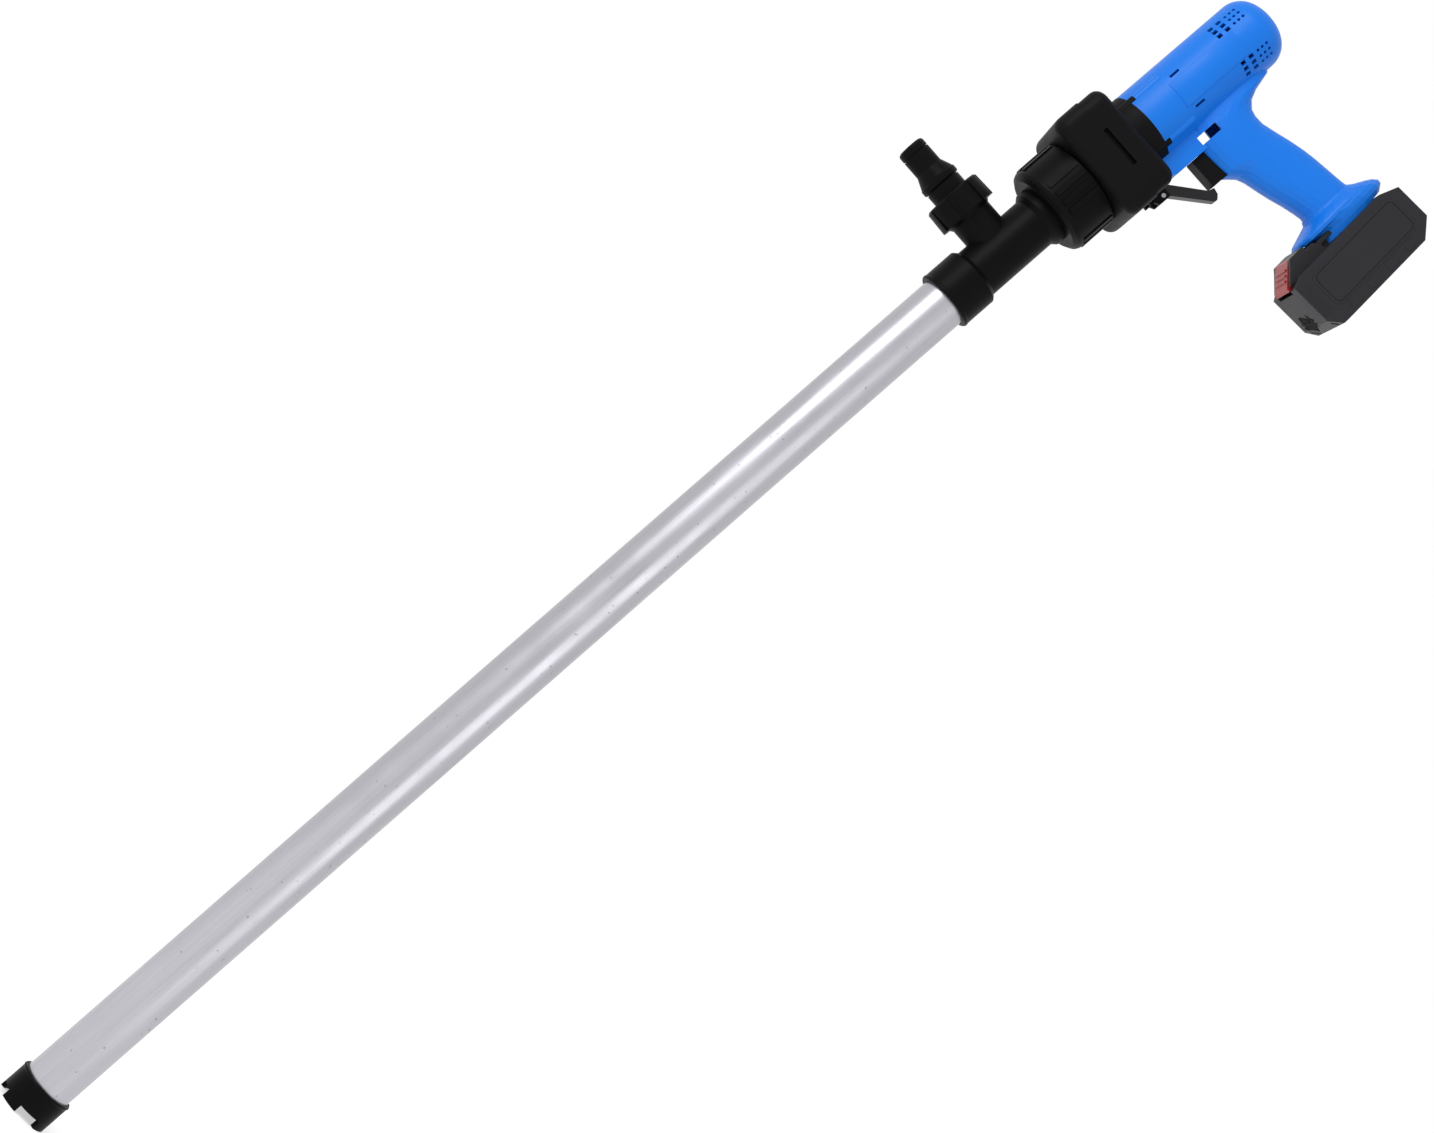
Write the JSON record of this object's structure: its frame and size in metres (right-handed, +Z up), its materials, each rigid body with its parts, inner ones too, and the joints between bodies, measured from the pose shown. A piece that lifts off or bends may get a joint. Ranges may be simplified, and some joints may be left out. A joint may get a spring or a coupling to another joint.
{
  "type": "cordless drum pump",
  "caption": "Battery-powered drum pump: long aluminium immersion tube with an impeller foot, black tee with hose nipple, square coupling housing and blue pistol-grip motor unit",
  "frame": {"origin": "on the pump axis at the mouth of the suction inlet, the plane of the roots of the foot's teeth", "axes": "+Z up the pump axis from the foot to the motor, +X towards the handle and battery, -X towards the hose nipple"},
  "size_m": [0.3277, 0.0956, 1.2785],
  "materials": {
    "black_plastic": "moulded, faint satin",
    "battery_plastic": "moulded, finely textured",
    "blue_plastic": "moulded, satin",
    "tube_aluminium": "drawn, mill finish",
    "coupling_aluminium": "turned",
    "steel": "zinc plated",
    "rotor_steel": "laminated, copper wound",
    "white_plastic": "turned, waxy",
    "rubber": "moulded",
    "spider_rubber": "cast, elastic",
    "cell_wrap": "shrink film",
    "red_plastic": "moulded, satin"
  },
  "bodies": {
    "pump": {"foot_cap": "black_plastic", "outer_tube": "tube_aluminium", "lower_bearing_carrier": "black_plastic", "lower_bush": "white_plastic", "shaft_guard_tube": "steel", "guide_bush_1": "white_plastic", "guide_bush_2": "white_plastic", "guide_bush_3": "white_plastic", "tube_o_ring": "rubber", "tee_body": "black_plastic", "seal_carrier": "black_plastic", "shaft_seal": "rubber", "upper_bearing": "steel", "outlet_gasket": "rubber", "hose_nipple": "black_plastic", "union_gasket": "rubber", "coupling_housing_front": "black_plastic", "coupling_housing_rear": "black_plastic", "coupling_housing_screws": "steel", "spindle_bearing": "steel", "lever_pin": "steel", "nose_housing": "black_plastic", "nose_screws": "steel", "housing_near": "blue_plastic", "housing_far": "blue_plastic", "housing_screws": "steel", "motor_can": "steel", "motor_end_cap": "black_plastic", "switch_body": "black_plastic", "terminal_block": "black_plastic"},
    "drive": {"impeller_nut": "steel", "impeller": "black_plastic", "drive_shaft": "steel", "coupling_lower": "coupling_aluminium", "coupling_spider": "spider_rubber", "coupling_upper": "coupling_aluminium", "output_spindle": "steel", "motor_rotor": "rotor_steel", "cooling_fan": "black_plastic"},
    "union_nut": {"union_nut": "black_plastic"},
    "outlet_nut": {"outlet_nut": "black_plastic"},
    "lock_lever": {"trigger_lock_lever": "black_plastic"},
    "trigger": {"trigger": "black_plastic", "trigger_spring": "steel"},
    "battery": {"battery_case_upper": "battery_plastic", "battery_case_lower": "battery_plastic", "battery_screws": "steel", "battery_cells": "cell_wrap", "cell_holder": "white_plastic", "release_spring": "steel"},
    "release_button": {"release_button": "red_plastic"}
  },
  "joints": [
    {"name": "drive_spin", "type": "hinge", "parent": "pump", "child": "drive", "pos_m": [0, 0, 0.5], "axis": [0, 0, 1], "continuous": true},
    {"name": "trigger_pull", "type": "slide", "parent": "pump", "child": "trigger", "axis": [0, 0, 1], "range_m": [0, 0.006], "stiffness_N_per_m": 400, "springref_m": -0.01},
    {"name": "lock_lever_swing", "type": "hinge", "parent": "pump", "child": "lock_lever", "pos_m": [0.0509, 0, 1.1135], "axis": [0, 1, 0], "range_deg": [0, 60]},
    {"name": "battery_slide", "type": "slide", "parent": "pump", "child": "battery", "axis": [0.0698, 0, -0.9976], "range_m": [0, 0.06]},
    {"name": "release_button_press", "type": "slide", "parent": "battery", "child": "release_button", "axis": [0.9976, 0, 0.0698], "range_m": [0, 0.003], "stiffness_N_per_m": 500, "springref_m": -0.004},
    {"name": "union_nut_turn", "type": "hinge", "parent": "pump", "child": "union_nut", "pos_m": [0, 0, 1.05], "axis": [0, 0, 1], "continuous": true},
    {"name": "outlet_nut_turn", "type": "hinge", "parent": "pump", "child": "outlet_nut", "pos_m": [-0.05, 0, 0.9885], "axis": [-1, 0, 0], "continuous": true}
  ]
}
